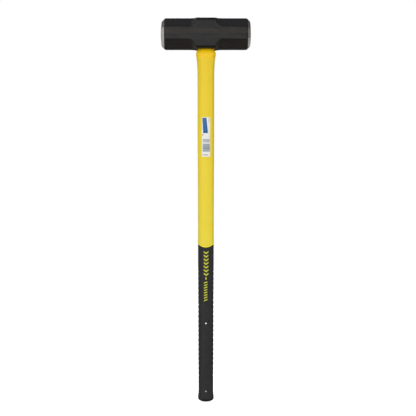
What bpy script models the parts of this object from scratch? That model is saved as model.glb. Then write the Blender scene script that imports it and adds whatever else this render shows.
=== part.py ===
"""Sledgehammer with a forged steel head and a jacketed fibreglass shaft.

The butt of the shaft stands on the origin and the shaft rises along +Z. The head lies
along X and the labelled side of the shaft faces -Y. All lengths are in metres.

From the inside out: a pultruded fibreglass core runs from the butt to the top of the
eye, a yellow jacket is moulded round it up to the head, and a black grip is moulded
over the lower jacket. The head is potted on the core with epoxy, over a rubber dam.
"""

import math

import bmesh
import bpy

# Overall
OVERALL_LENGTH = 0.9015
FIT_GAP = 0.0003            # left between any two pieces that touch

# Head: an octagonal bar along X with a square cheek round the eye
HEAD_LENGTH = 0.212
ACROSS_FLATS = 0.0720
ARM_FLAT = 0.0290            # width of the flats along the octagonal arms
CHEEK_HALF_LENGTH = 0.022   # |x| where the square cheek ends
ARM_START = 0.0403          # |x| where the octagonal arm begins
CHEEK_EDGE = 0.005          # chamfer left on the cheek's long edges
RUN_OUT_STEPS = 7           # sections in each curved run-out between arm and cheek
BEVEL_START = 0.0960        # |x| where the end bevels begin
BEVEL_LENGTH = 0.0084       # along X, as far as the striking face
FACE_HALF = 0.0278          # half size across flats of the striking face, inside its bevel
FACE_CROWN = 0.0015         # rise of the striking face over FACE_HALF
FACE_FLAT_RADIUS = 0.005    # flat left at the middle of the crown
FACE_RINGS = 6
FACE_SEGMENTS = 48

# Eye: an hourglass oval hole through the head along Z, as half-widths in X and Y
EYE_MOUTH = (0.0190, 0.0138)
EYE_WAIST = (0.0170, 0.0123)
EYE_TOP = (0.0200, 0.0150)
EYE_WAIST_HEIGHT = 0.028    # above the underside of the head

# Shaft: ovals are superellipses, narrower front to back than across
OVAL_POWER = 2.5
OVAL_SEGMENTS = 32
SHAFT_DEPTH_RATIO = 0.74    # front-to-back size over width of the outer shaft
CORE_HALF = (0.0135, 0.0094)
CORE_CHAMFER = 0.0015
CORE_RECESS = 0.0006        # core end below the top of the head
JACKET_THIN_WALL = 0.0015   # jacket wall under the grip
JACKET_END_WALL = 0.0025    # jacket over the butt end of the core
JACKET_END_CHAMFER = 0.002
SPIGOT_HALF = (0.0176, 0.0127)
SPIGOT_LENGTH = 0.012       # jacket inside the eye

# Half-width of the yellow jacket, by height, from the grip to the head
JACKET_OUTLINE = (
    (0.3840, 0.01870),
    (0.4000, 0.01850),
    (0.4400, 0.01855),
    (0.5000, 0.01880),
    (0.5500, 0.01910),
    (0.6000, 0.01940),
    (0.6600, 0.01960),
    (0.7200, 0.01955),
    (0.7740, 0.01970),
    (0.7830, 0.02000),
    (0.7920, 0.02050),
    (0.7990, 0.02095),
    (0.8060, 0.02170),
    (0.8130, 0.02270),
    (0.8170, 0.02335),
    (0.8190, 0.02345),
    (0.8215, 0.02290),
    (0.8250, 0.02170),
    (0.8275, 0.02070),
)
SHOULDER_DEPTH_RATIOS = ((0.8190, SHAFT_DEPTH_RATIO), (0.8292, 0.69))
SHOULDER_TOP_HALF = 0.0200  # half-width where the shoulder meets the head

# Grip
GRIP_ARC_LOW = 0.3632       # lowest point of the curved upper edge, at the middle
GRIP_ARC_RADIUS = 0.0244    # curve of that edge, seen from the front
GRIP_END_WALL = 0.0077      # rubber under the butt end of the jacket
BUTT_HALF = 0.0185          # half-width at the butt flare
BUTT_DOME_HEIGHT = 0.0083
BUTT_FLAT_SHARE = 0.3       # flat middle of the butt, over its half-width
BUTT_STEPS = 5
GRIP_OUTLINE = (
    (0.0083, 0.01850),
    (0.0130, 0.01850),
    (0.0180, 0.01780),
    (0.0225, 0.01745),
    (0.0300, 0.01720),
    (0.0430, 0.01720),
    (0.0700, 0.01750),
    (0.1000, 0.01790),
    (0.1300, 0.01800),
    (0.1900, 0.01820),
    (0.3100, 0.01830),
    (0.3500, 0.01845),
)
GROOVE_COUNT = 23
GROOVE_PITCH = 0.0111
GROOVE_FIRST_Z = 0.0620     # at the side of the grip
GROOVE_SWEEP = 0.0133       # fall of a groove from the side to the middle of the front or back
GROOVE_HALF_WIDTH = 0.0014
GROOVE_DEPTH = 0.0008
GROOVE_FULL_AT = 0.90       # share of the half-width beyond which a groove is full depth
GROOVE_FADES_AT = 0.30      # share of the half-width where it has faded out
PIN_HOLE_RADIUS = 0.0021
PIN_HOLE_HEIGHTS = (0.0243, 0.1841)
PIN_HOLE_SEGMENTS = 16

# Seal and potting in the eye
SEAL_HEIGHT = 0.003
EPOXY_RECESS = 0.0012       # epoxy surface below the top of the head

# Label on the front of the jacket
LABEL_LEFT, LABEL_RIGHT = -0.0095, 0.0100
LABEL_BOTTOM, LABEL_TOP = 0.5764, 0.6690
LABEL_THICKNESS = 0.00025
LABEL_COLUMNS = 8
LABEL_ROWS = 8

HALF_FLATS = ACROSS_FLATS / 2
HEAD_AXIS_Z = OVERALL_LENGTH - HALF_FLATS
HEAD_UNDERSIDE = OVERALL_LENGTH - ACROSS_FLATS
ARM_CHAMFER = HALF_FLATS - ARM_FLAT / 2
CUT_MARGIN = 0.004          # how far a cutter runs past the solid that it cuts


# ---------------------------------------------------------------- building blocks

def material(name, colour, roughness, metallic=0.0):
    mat = bpy.data.materials.new(name)
    mat.use_nodes = True
    shader = mat.node_tree.nodes["Principled BSDF"]
    shader.inputs["Base Color"].default_value = (*colour, 1.0)
    shader.inputs["Roughness"].default_value = roughness
    shader.inputs["Metallic"].default_value = metallic
    return mat


def add_object(name, bm, mat=None, smooth_angle=None):
    """Turn a bmesh into a linked object with outward faces."""
    bmesh.ops.recalc_face_normals(bm, faces=bm.faces)
    mesh = bpy.data.meshes.new(name)
    bm.to_mesh(mesh)
    bm.free()
    if mat:
        mesh.materials.append(mat)
    if smooth_angle:
        mesh.shade_smooth()
        mesh.set_sharp_from_angle(angle=math.radians(smooth_angle))
    obj = bpy.data.objects.new(name, mesh)
    bpy.context.scene.collection.objects.link(obj)
    return obj


def loft(rings, closed=False):
    """Skin a list of equal rings; closed joins the last to the first, else both are capped."""
    bm = bmesh.new()
    loops = [[bm.verts.new(point) for point in ring] for ring in rings]
    pairs = list(zip(loops, loops[1:]))
    if closed:
        pairs.append((loops[-1], loops[0]))
    else:
        bm.faces.new(loops[0])
        bm.faces.new(loops[-1])
    count = len(loops[0])
    for lower, upper in pairs:
        for i in range(count):
            j = (i + 1) % count
            bm.faces.new((lower[i], lower[j], upper[j], upper[i]))
    return bm


def cut(target, cutter, operation="DIFFERENCE"):
    """Cut a solid with a helper solid, which stays hidden."""
    cutter.hide_render = True
    cutter.display_type = "WIRE"
    modifier = target.modifiers.new(cutter.name, "BOOLEAN")
    modifier.operation = operation
    modifier.solver = "EXACT"
    modifier.object = cutter


def interpolate(outline, z):
    """Linear value of an outline at height z, level beyond its ends."""
    if z <= outline[0][0]:
        return outline[0][1]
    for (z0, v0), (z1, v1) in zip(outline, outline[1:]):
        if z <= z1:
            return v0 + (v1 - v0) * (z - z0) / (z1 - z0)
    return outline[-1][1]


def unit_oval():
    """One oval section of half-width 1, counter-clockwise from +X."""
    points = []
    for i in range(OVAL_SEGMENTS):
        angle = 2 * math.pi * i / OVAL_SEGMENTS
        c, s = math.cos(angle), math.sin(angle)
        points.append((math.copysign(abs(c) ** (2 / OVAL_POWER), c),
                       math.copysign(abs(s) ** (2 / OVAL_POWER), s)))
    return points


def oval_points(half_x, half_y):
    return [(half_x * x, half_y * y) for x, y in unit_oval()]


def oval_ring(half_x, half_y, z):
    return [(x, y, z) for x, y in oval_points(half_x, half_y)]


def grow(half, amount):
    return half[0] + amount, half[1] + amount


def shaft_ring(half_x, z):
    """A section of the outer shaft, which thins from front to back above the shoulder."""
    return oval_ring(half_x, half_x * interpolate(SHOULDER_DEPTH_RATIOS, z), z)


def arc_height(x):
    """Height of the grip's curved upper edge at x."""
    return GRIP_ARC_LOW + GRIP_ARC_RADIUS - math.sqrt(GRIP_ARC_RADIUS ** 2 - x ** 2)


def arc_ring(half_x, half_y, offset):
    return [(x, y, arc_height(x) + offset) for x, y in oval_points(half_x, half_y)]


# ---------------------------------------------------------------- head and eye

def eye_half(z):
    """Half-widths of the eye at height z."""
    waist_z = HEAD_UNDERSIDE + EYE_WAIST_HEIGHT
    if z < waist_z:
        share = (z - HEAD_UNDERSIDE) / EYE_WAIST_HEIGHT
        start, end = EYE_MOUTH, EYE_WAIST
    else:
        share = (z - waist_z) / (OVERALL_LENGTH - waist_z)
        start, end = EYE_WAIST, EYE_TOP
    return tuple(a + (b - a) * share for a, b in zip(start, end))


def eye_cutter():
    heights = (
        HEAD_UNDERSIDE - CUT_MARGIN,
        HEAD_UNDERSIDE + EYE_WAIST_HEIGHT,
        OVERALL_LENGTH + CUT_MARGIN,
    )
    return add_object("eye_cutter", loft([oval_ring(*eye_half(z), z) for z in heights]))


def head_section(x, chamfer, half):
    """A square section across the head, half its size across flats, with its corners cut off."""
    flat = half - chamfer
    corners = (
        (flat, half), (half, flat), (half, -flat), (flat, -half),
        (-flat, -half), (-half, -flat), (-half, flat), (-flat, half),
    )
    return [(x, y, HEAD_AXIS_Z + z) for y, z in corners]


def head_bar():
    """Octagonal arms, bevelled at their ends, with corner cuts that run out at the cheek."""
    run_out = ARM_START - CHEEK_HALF_LENGTH
    last_angle = math.acos(CHEEK_EDGE / ARM_CHAMFER)
    end = HEAD_LENGTH / 2 + CUT_MARGIN
    end_half = HALF_FLATS - (end - BEVEL_START) * (HALF_FLATS - FACE_HALF) / BEVEL_LENGTH
    half = [
        (end, ARM_CHAMFER * end_half / HALF_FLATS, end_half),
        (BEVEL_START, ARM_CHAMFER, HALF_FLATS),
    ]
    for i in range(RUN_OUT_STEPS + 1):
        angle = last_angle * i / RUN_OUT_STEPS
        x = ARM_START - run_out * math.sin(angle) / math.sin(last_angle)
        half.append((x, ARM_CHAMFER * math.cos(angle), HALF_FLATS))
    sections = [head_section(-x, chamfer, size) for x, chamfer, size in half]
    sections += [head_section(x, chamfer, size) for x, chamfer, size in reversed(half)]
    return loft(sections)


def face_envelope():
    """A turned solid along X that crowns the striking faces."""
    rim = HALF_FLATS / math.cos(math.radians(22.5)) + CUT_MARGIN
    profile = []
    for i in range(FACE_RINGS):
        radius = FACE_FLAT_RADIUS + (rim - FACE_FLAT_RADIUS) * i / (FACE_RINGS - 1)
        rise = FACE_CROWN * (radius ** 2 - FACE_FLAT_RADIUS ** 2) / FACE_HALF ** 2
        profile.append((HEAD_LENGTH / 2 - rise, radius))
    profile += [(-x, radius) for x, radius in reversed(profile)]
    rings = []
    for x, radius in profile:
        ring = []
        for i in range(FACE_SEGMENTS):
            angle = 2 * math.pi * (i + 0.5) / FACE_SEGMENTS
            ring.append((x, radius * math.cos(angle), HEAD_AXIS_Z + radius * math.sin(angle)))
        rings.append(ring)
    return add_object("face_envelope", loft(rings))


def make_head():
    steel = material("black_lacquered_steel", (0.035, 0.034, 0.033), 0.45, 0.2)
    head = add_object("hammer_head", head_bar(), steel)
    cut(head, face_envelope(), "INTERSECT")
    cut(head, eye_cutter())
    return head


# ---------------------------------------------------------------- shaft

def jacket_end_z():
    return GRIP_END_WALL + FIT_GAP


def core_end_z():
    return jacket_end_z() + JACKET_END_WALL + FIT_GAP


def jacket_thin_half():
    """Half-widths of the jacket where the grip covers it."""
    return grow(CORE_HALF, FIT_GAP + JACKET_THIN_WALL)


def pin_cutter(name, z):
    """A round bar along Y for one see-through pin hole."""
    reach = BUTT_HALF + CUT_MARGIN
    rings = []
    for y in (-reach, reach):
        ring = []
        for i in range(PIN_HOLE_SEGMENTS):
            angle = 2 * math.pi * i / PIN_HOLE_SEGMENTS
            ring.append((PIN_HOLE_RADIUS * math.cos(angle), y,
                         z + PIN_HOLE_RADIUS * math.sin(angle)))
        rings.append(ring)
    return add_object(name, loft(rings))


def make_core():
    fibreglass = material("fibreglass", (0.62, 0.60, 0.48), 0.5)
    base = core_end_z()
    top = OVERALL_LENGTH - CORE_RECESS
    small = grow(CORE_HALF, -CORE_CHAMFER)
    rings = [
        oval_ring(*small, base),
        oval_ring(*CORE_HALF, base + CORE_CHAMFER),
        oval_ring(*CORE_HALF, top),
    ]
    return add_object("shaft_core", loft(rings), fibreglass, 40)


def make_jacket():
    """Thin sleeve under the grip, full section above it, shoulder, and spigot in the eye."""
    yellow = material("yellow_polypropylene", (0.78, 0.58, 0.045), 0.42)
    thin = jacket_thin_half()
    bore = grow(CORE_HALF, FIT_GAP)
    base = jacket_end_z()
    first_half = JACKET_OUTLINE[0][1]
    shoulder_z = HEAD_UNDERSIDE - FIT_GAP
    spigot_z = HEAD_UNDERSIDE + SPIGOT_LENGTH
    bore_base = base + JACKET_END_WALL
    small_bore = grow(bore, -CORE_CHAMFER)
    rings = [
        oval_ring(*grow(thin, -JACKET_END_CHAMFER), base),
        oval_ring(*thin, base + JACKET_END_CHAMFER),
        arc_ring(*thin, 0.0),
        arc_ring(first_half, first_half * SHAFT_DEPTH_RATIO, 0.0),
    ]
    rings += [shaft_ring(half, z) for z, half in JACKET_OUTLINE]
    rings += [
        shaft_ring(SHOULDER_TOP_HALF, shoulder_z),
        oval_ring(*SPIGOT_HALF, shoulder_z),
        oval_ring(*SPIGOT_HALF, spigot_z),
        oval_ring(*bore, spigot_z),
        oval_ring(*bore, bore_base + CORE_CHAMFER),
        oval_ring(*small_bore, bore_base),
    ]
    return add_object("shaft_jacket", loft(rings), yellow, 40)


def grip_ring(side_z, sweep=0.0, depth=0.0):
    """An outer section of the grip that falls by sweep from its sides to its middle.

    Its sides are pressed in by depth, which fades out towards the middle.
    """
    ring = []
    for x, y in unit_oval():
        z = side_z - sweep * (1 - abs(x))
        half = interpolate(GRIP_OUTLINE, z)
        share = (abs(x) - GROOVE_FADES_AT) / (GROOVE_FULL_AT - GROOVE_FADES_AT)
        pressed = depth * min(max(share, 0.0), 1.0)
        ring.append((x * (half - pressed), y * (half * SHAFT_DEPTH_RATIO - pressed), z))
    return ring


def plain_rings():
    """Level sections from the butt flare to just under the lowest groove."""
    lowest = GROOVE_FIRST_Z - GROOVE_SWEEP - GROOVE_HALF_WIDTH
    return [grip_ring(z) for z, _ in GRIP_OUTLINE[1:] if z < lowest]


def groove_rings():
    """Three swept sections for each groove: lip, bottom and lip."""
    rings = []
    for i in range(GROOVE_COUNT):
        middle = GROOVE_FIRST_Z + i * GROOVE_PITCH
        rings.append(grip_ring(middle - GROOVE_HALF_WIDTH, GROOVE_SWEEP))
        rings.append(grip_ring(middle, GROOVE_SWEEP, GROOVE_DEPTH))
        rings.append(grip_ring(middle + GROOVE_HALF_WIDTH, GROOVE_SWEEP))
    return rings


def butt_rings():
    """The domed end, from its flat middle up to the widest part of the butt."""
    rings = []
    start = math.asin(BUTT_FLAT_SHARE)
    for i in range(BUTT_STEPS + 1):
        angle = start + (math.pi / 2 - start) * i / BUTT_STEPS
        drop = (math.cos(angle) / math.cos(start)) * BUTT_DOME_HEIGHT
        rings.append(shaft_ring(BUTT_HALF * math.sin(angle), BUTT_DOME_HEIGHT - drop))
    return rings


def make_grip():
    rubber = material("black_rubber", (0.033, 0.033, 0.034), 0.6)
    inside = grow(jacket_thin_half(), FIT_GAP)
    top_half = GRIP_OUTLINE[-1][1]
    rings = butt_rings() + plain_rings() + groove_rings()
    rings += [
        arc_ring(top_half, top_half * SHAFT_DEPTH_RATIO, -FIT_GAP),
        arc_ring(*inside, -FIT_GAP),
        oval_ring(*inside, GRIP_END_WALL + JACKET_END_CHAMFER),
        oval_ring(*grow(inside, -JACKET_END_CHAMFER), GRIP_END_WALL),
    ]
    return add_object("grip_sleeve", loft(rings), rubber, 40)


# ---------------------------------------------------------------- inside the eye

def eye_filling(name, bottom, top, mat):
    """A ring between the core and the eye wall, with gaps to both."""
    waist = HEAD_UNDERSIDE + EYE_WAIST_HEIGHT
    heights = [bottom, top]
    if bottom < waist < top:
        heights.insert(1, waist)
    inner = grow(CORE_HALF, FIT_GAP)
    rings = [oval_ring(*grow(eye_half(z), -FIT_GAP), z) for z in heights]
    rings += [oval_ring(*inner, top), oval_ring(*inner, bottom)]
    return add_object(name, loft(rings, closed=True), mat, 40)


def make_seal_and_epoxy():
    seal_rubber = material("seal_rubber", (0.03, 0.03, 0.03), 0.7)
    epoxy = material("potting_epoxy", (0.09, 0.075, 0.05), 0.3)
    seal_base = HEAD_UNDERSIDE + SPIGOT_LENGTH + FIT_GAP
    seal_top = seal_base + SEAL_HEIGHT
    eye_filling("eye_seal_ring", seal_base, seal_top, seal_rubber)
    eye_filling("eye_epoxy", seal_top + FIT_GAP, OVERALL_LENGTH - EPOXY_RECESS, epoxy)


# ---------------------------------------------------------------- label

def label_point(x, z, lift):
    """A point over the front of the jacket, lift away from its surface."""
    half_x = interpolate(JACKET_OUTLINE, z)
    half_y = half_x * SHAFT_DEPTH_RATIO
    y = half_y * (1 - (abs(x) / half_x) ** OVAL_POWER) ** (1 / OVAL_POWER)
    return x, -(y + lift), z


def make_label():
    """A thin sheet that follows the front of the jacket."""
    paper = material("label_paper", (0.8, 0.8, 0.82), 0.5)
    bm = bmesh.new()
    sheets = []
    for lift in (FIT_GAP, FIT_GAP + LABEL_THICKNESS):
        rows = []
        for row in range(LABEL_ROWS + 1):
            z = LABEL_BOTTOM + (LABEL_TOP - LABEL_BOTTOM) * row / LABEL_ROWS
            xs = [LABEL_LEFT + (LABEL_RIGHT - LABEL_LEFT) * i / LABEL_COLUMNS
                  for i in range(LABEL_COLUMNS + 1)]
            rows.append([bm.verts.new(label_point(x, z, lift)) for x in xs])
        for lower, upper in zip(rows, rows[1:]):
            for i in range(LABEL_COLUMNS):
                bm.faces.new((lower[i], lower[i + 1], upper[i + 1], upper[i]))
        sheets.append(rows)
    rims = []
    for rows in sheets:
        right = [row[-1] for row in rows[1:]]
        top = rows[-1][-2::-1]
        left = [row[0] for row in rows[-2:0:-1]]
        rims.append(rows[0] + right + top + left)
    inner, outer = rims
    for i in range(len(inner)):
        j = (i + 1) % len(inner)
        bm.faces.new((inner[i], inner[j], outer[j], outer[i]))
    return add_object("product_label", bm, paper)


# ---------------------------------------------------------------- assembly

def main():
    for obj in list(bpy.data.objects):
        bpy.data.objects.remove(obj, do_unlink=True)
    make_head()
    core = make_core()
    jacket = make_jacket()
    grip = make_grip()
    for number, z in enumerate(PIN_HOLE_HEIGHTS, 1):
        cutter = pin_cutter(f"pin_hole_cutter_{number}", z)
        for piece in (core, jacket, grip):
            cut(piece, cutter)
    make_seal_and_epoxy()
    make_label()


main()
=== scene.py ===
"""Looks of the sledgehammer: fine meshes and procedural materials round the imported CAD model.

The shaft stands on +Z with its butt at the origin, the head lies along X and the labelled
side faces -Y. Everything is in metres, in the CAD model's own frame.
"""

import math

import bmesh
import bpy
import numpy as np
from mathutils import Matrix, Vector, noise


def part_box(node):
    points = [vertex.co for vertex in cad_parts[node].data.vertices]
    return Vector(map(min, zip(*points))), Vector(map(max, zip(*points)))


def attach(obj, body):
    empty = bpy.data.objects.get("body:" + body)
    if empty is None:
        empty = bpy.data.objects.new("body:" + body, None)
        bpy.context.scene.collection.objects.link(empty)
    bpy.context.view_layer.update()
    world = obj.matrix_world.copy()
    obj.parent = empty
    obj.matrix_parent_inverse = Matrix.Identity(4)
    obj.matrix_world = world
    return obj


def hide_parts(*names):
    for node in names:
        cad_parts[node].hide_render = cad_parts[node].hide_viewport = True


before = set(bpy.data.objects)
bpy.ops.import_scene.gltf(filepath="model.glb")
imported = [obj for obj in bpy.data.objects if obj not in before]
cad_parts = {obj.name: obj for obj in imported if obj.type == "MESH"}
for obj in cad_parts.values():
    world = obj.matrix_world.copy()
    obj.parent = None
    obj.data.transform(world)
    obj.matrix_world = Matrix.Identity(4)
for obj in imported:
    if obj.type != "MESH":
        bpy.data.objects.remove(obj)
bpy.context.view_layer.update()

# Boxes of the CAD pieces, from which the fine pieces take their places
HEAD_LOW, HEAD_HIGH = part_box("hammer_head")
CORE_LOW, CORE_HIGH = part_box("shaft_core")
JACKET_LOW, JACKET_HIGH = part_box("shaft_jacket")
GRIP_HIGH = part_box("grip_sleeve")[1]
SEAL_LOW, SEAL_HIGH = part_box("eye_seal_ring")
EPOXY_LOW, EPOXY_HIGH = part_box("eye_epoxy")
LABEL_LOW, LABEL_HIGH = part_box("product_label")

MM = 0.001

# Head
HALF_LENGTH = HEAD_HIGH.x
HALF_FLATS = HEAD_HIGH.y
AXIS_Z = (HEAD_LOW.z + HEAD_HIGH.z) / 2
BEVEL_START = 96.0 * MM         # |x| where the end bevels begin
BEVEL_LENGTH = 8.4 * MM
BEVEL_ROUNDING = 2.2 * MM
FACE_HALF = 27.8 * MM           # half size across flats of the striking face
FACE_CROWN = 1.5 * MM
FACE_FILLET = 2.2 * MM          # rounding between the face and its bevel
PAINT_END = 98.3 * MM           # |x| where the lacquer has been ground away
PAINT_SKEW = 0.006              # it is ground further in on the left than on the right
FACE_RIM = (1.4 * MM, 0.9 * MM) # depths below the crown between which the face's painted shade starts
ARM_START = 40.3 * MM           # |x| where the octagonal arm begins
CHEEK_HALF_LENGTH = 22.0 * MM
CHEEK_FADE = 8.0 * MM           # the cheek's painted shade runs out over this length
CHEEK_EDGE = 5.0 * MM           # corner cut left along the cheek
OCTAGON_CUT = HALF_FLATS - 14.5 * MM
UPPER_FACET = (15.5 * MM, 17.0 * MM)    # heights above the axis between which its painted cool reflection starts
ARM_SOFTNESS = 0.9 * MM         # rounding of the edges between the flats
CHEEK_SOFTNESS = 1.3 * MM       # further rounding at the cheek
# Share of painted shade on the lacquer by height above the head's axis, in mm: darker bands, lighter
# in between
PAINTED_SHADE_BANDS = ((-36, 0.05), (-17, 0.05), (-14, 0.45), (-6, 0.45), (-3.6, 0.9), (-1.4, 0.05), (8, 0.0),
              (10.5, 0.6), (14, 0.6), (16.5, 0.0), (31, 0.0), (35, 0.6))
EYE_MOUTH = (19.0 * MM, 13.8 * MM)      # half-widths of the hourglass eye, here and below
EYE_WAIST = (17.0 * MM, 12.3 * MM)
EYE_TOP = (20.0 * MM, 15.0 * MM)
EYE_WAIST_HEIGHT = 28.0 * MM
EYE_CHAMFER = 0.8 * MM
FILLING_GAP = 0.05 * MM         # between the resin or the seal and the walls

# Shaft
OVAL_POWER = 2.5
DEPTH_RATIO = 0.74              # front-to-back size over width of the outer shaft
MOUTH_DEPTH_RATIO = 0.69        # the same at the mouth of the eye
SHOULDER_Z = HEAD_LOW.z - 10.5 * MM
CORE_HALF = (CORE_HIGH.x, CORE_HIGH.y)
BORE_OUT = 0.3 * MM             # from the core's skin out to the jacket's bore
THIN_OUT = 1.8 * MM             # from the core's skin out to the jacket's outside under the grip
SLEEVE_OUT = 2.1 * MM           # from the core's skin out to the grip's inside
SPIGOT = (17.6 * MM, 12.7 * MM) # half-widths of the jacket's spigot in the eye
HEAD_GAP = 0.1 * MM             # between the jacket's shoulder and the head
TOP_FILLET = 1.4 * MM
TOP_INSET = 1.1 * MM            # how far the fillet at the jacket's top goes in
JACKET_SHY = 0.04 * MM          # the fine jacket's skin lies this far inside the CAD skin
ARC_LOW = GRIP_HIGH.z - 7.93 * MM
ARC_RADIUS = 24.4 * MM          # the grip's curved upper edge, seen from the front
ARC_BLEND = 40.0 * MM           # height over which the jacket's rows turn level
LIP_WIDTH = 2.6 * MM            # raised lip of the jacket along the grip's edge
LIP_RISE = 0.35 * MM
LIP_ROUNDING = 0.45 * MM
LIP_HOLLOW = 0.25 * MM          # depth of the shallow hollow just above the lip
HOLLOW_HALF = 1.1 * MM          # half its width
SEAM_RISE = 0.12 * MM           # moulding line along both sides
SEAM_HALF_WIDTH = 0.35 * MM
COLUMNS = 120

# Grip
GROOVE_COUNT = 23
GROOVE_PITCH = 11.1 * MM
GROOVE_FIRST_Z = 62.0 * MM
GROOVE_SWEEP = 13.3 * MM
GROOVE_HALF_WIDTH = 1.4 * MM
GROOVE_DEPTH = 0.85 * MM
GROOVE_FULL_AT = 0.90
GROOVE_FADES_AT = 0.30
PAD_CROWN = 0.15 * MM           # swell of the rubber between two grooves
BUTT_DOME = 8.3 * MM
PLAIN_TOP = 42.0 * MM           # height up to which the grip's rows are level
EDGE_HALF = 18.0 * MM           # half-width at the grip's upper edge
EDGE_WALL = 2.7 * MM            # the grip's wall there
EDGE_ROUNDING = 0.4 * MM
EDGE_GAP = 0.12 * MM            # between the grip's upper edge and the jacket's lip
PIN_HOLE_RADIUS = 2.1 * MM
PIN_HOLE_FLARE = 1.12           # the radius at its mouths over the radius inside
PIN_HOLE_HEIGHTS = (24.3 * MM, 184.1 * MM)

# Label and print
SHEET_LIFTS = (0.02 * MM, 0.16 * MM)    # inner and outer side of a film, off the skin under it
LABEL_CORNER = 0.9 * MM
PRINT_TOP = 355.2 * MM
CHEVRON_COUNT = 7
CHEVRON_PITCH = 8.5 * MM
CHEVRON_STROKE = 3.7 * MM
CHEVRON_FALL = 4.0 * MM
CHEVRON_SPAN = (-5.0 * MM, 6.0 * MM)
DASH_SPAN = (-1.3 * MM, 1.8 * MM)
DASH_HEIGHTS = (287.8 * MM, 293.2 * MM)
BAR_COUNT = 8
BAR_TOP = 283.8 * MM
BAR_PITCH = 5.9 * MM
BAR_STROKE = 2.7 * MM
BAR_SLOPE = 0.35
BAR_SPAN = (-4.4 * MM, 3.4 * MM)

# Areas printed on the label, in mm: left and right ends from the axis, then upper and lower
# ends below its top edge
PICTURE_AREA = (-9, 9, 1.2, 37.2)
PICTURE_SHADE = (-5.6, -2.2, 32, 37.2)
LINES_AREA = (-7.4, 9.0, 51, 59.4)
STRIPES_AREA = (-7.4, 9.4, 62, 80.8)
GREY_INK = (0.27, 0.29, 0.36)
PLAIN_AREAS = (                 # area, share of ink, ink
    ((6.4, 7.8, 1.5, 13), 0.75, GREY_INK),
    ((-8.2, -5.9, 40.2, 42.6), 1.0, (0.035, 0.045, 0.070)),
    ((6.7, 7.8, 14, 48), 0.25, GREY_INK),
    ((-7.4, 5.4, 86.8, 90.0), 0.65, GREY_INK),
)
LEFT_SLANT = 0.065              # the picture's left side moves right by this share of its fall
RIGHT_SLANT = 0.095
INK_EDGE = 0.12 * MM            # half the width over which an area's edge fades

# Studio
AMBIENT = 0.12
GLOWS = (                       # direction, cosines where it starts and is full, radiance
    ((-0.42, -0.90, 0.0), 0.0, 0.5, 0.42),          # front and left
    ((0, 0, 1), 0.2, 1.0, 0.06),                    # above
    ((-0.76, 0.57, -0.30), 0.80, 0.93, 0.65),       # the table, back left
    ((0.76, 0.57, -0.30), 0.80, 0.93, 0.55),        # the table, back right
)
SOFTBOXES = (                   # name, place, width and height, radiance
    ("front_light", (-1.3, -4.0, 0.9), (4.8, 2.4), 2.7),
    ("right_fill", (2.7, -1.85, 0.6), (1.4, 2.4), 4.1),
    ("left_fill", (-3.0, -0.6, 0.7), (0.9, 1.6), 1.3),
    ("back_light", (-0.6, 3.4, 2.9), (2.6, 2.4), 4.6),
)
LIGHT_AIM = Vector((0, 0, 0.5))
FLOOR_HALF = 8.0

# View
PHOTO_DISTANCE = 3.40
CAMERA_X = 5.0 * MM
CAMERA_Z = 456.0 * MM
FRAME_WIDTH = 0.9804            # width seen at the shaft
SENSOR = 36.0


# ------------ mesh helpers

def add_piece(name, mesh, mat, node=None):
    """Link a mesh as a piece that rides on the only body."""
    mesh.materials.append(mat)
    obj = bpy.data.objects.new(name, mesh)
    bpy.context.scene.collection.objects.link(obj)
    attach(obj, "root")
    if node:
        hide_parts(node)


def mesh_from(name, points, faces, sharp_angle=None):
    mesh = bpy.data.meshes.new(name)
    mesh.from_pydata(points, [], faces)
    mesh.validate()
    bm = bmesh.new()
    bm.from_mesh(mesh)
    bmesh.ops.recalc_face_normals(bm, faces=bm.faces)
    bm.to_mesh(mesh)
    bm.free()
    mesh.shade_smooth()
    if sharp_angle:
        mesh.set_sharp_from_angle(angle=math.radians(sharp_angle))
    return mesh


def loft_mesh(name, rows, closed=False, sharp_angle=None):
    """Skin equal rings. closed joins the last ring to the first; else both ends are capped."""
    count = len(rows[0])
    points = [tuple(p) for row in rows for p in row]
    faces = []
    pairs = [(r, r + 1) for r in range(len(rows) - 1)]
    if closed:
        pairs.append((len(rows) - 1, 0))
    for low, high in pairs:
        for i in range(count):
            j = (i + 1) % count
            faces.append((low * count + i, low * count + j, high * count + j, high * count + i))
    if not closed:
        last = (len(rows) - 1) * count
        faces.append(tuple(range(count)))
        faces.append(tuple(range(last, last + count)))
    return mesh_from(name, points, faces, sharp_angle)


def cut_mesh(mesh, cutters, sharp_angle):
    """The mesh less its cutters, as a new mesh."""
    target = bpy.data.objects.new("cut_target", mesh)
    bpy.context.scene.collection.objects.link(target)
    helpers = []
    for number, cutter in enumerate(cutters):
        helper = bpy.data.objects.new(f"cutter_{number}", cutter)
        bpy.context.scene.collection.objects.link(helper)
        modifier = target.modifiers.new(helper.name, "BOOLEAN")
        modifier.operation = "DIFFERENCE"
        modifier.solver = "EXACT"
        modifier.object = helper
        helpers.append(helper)
    evaluated = target.evaluated_get(bpy.context.evaluated_depsgraph_get())
    result = bpy.data.meshes.new_from_object(evaluated)
    for obj in (target, *helpers):
        bpy.data.objects.remove(obj)
    result.shade_smooth()
    result.set_sharp_from_angle(angle=math.radians(sharp_angle))
    return result


def smoothstep(low, high, value):
    share = np.clip((value - low) / (high - low), 0.0, 1.0)
    return share * share * (3 - 2 * share)


def smooth_min(a, b, radius):
    """The lower of a and b, blended where they differ by less than radius."""
    overlap = np.maximum(radius - np.abs(a - b), 0.0) / radius
    return np.minimum(a, b) - overlap ** 2 * radius / 4


# ------------ oval shaft sections

def oval_angles():
    """Even angles round the oval, with extra columns beside the moulding line on each side."""
    angles = list(np.linspace(0, 2 * math.pi, COLUMNS, endpoint=False))
    for side in (0, math.pi):
        for share in (0.0006, 0.0025, 0.006, 0.012):
            angles += [side + share * math.tau, side - share * math.tau]
    return np.array(sorted(angle % math.tau for angle in angles))


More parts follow.
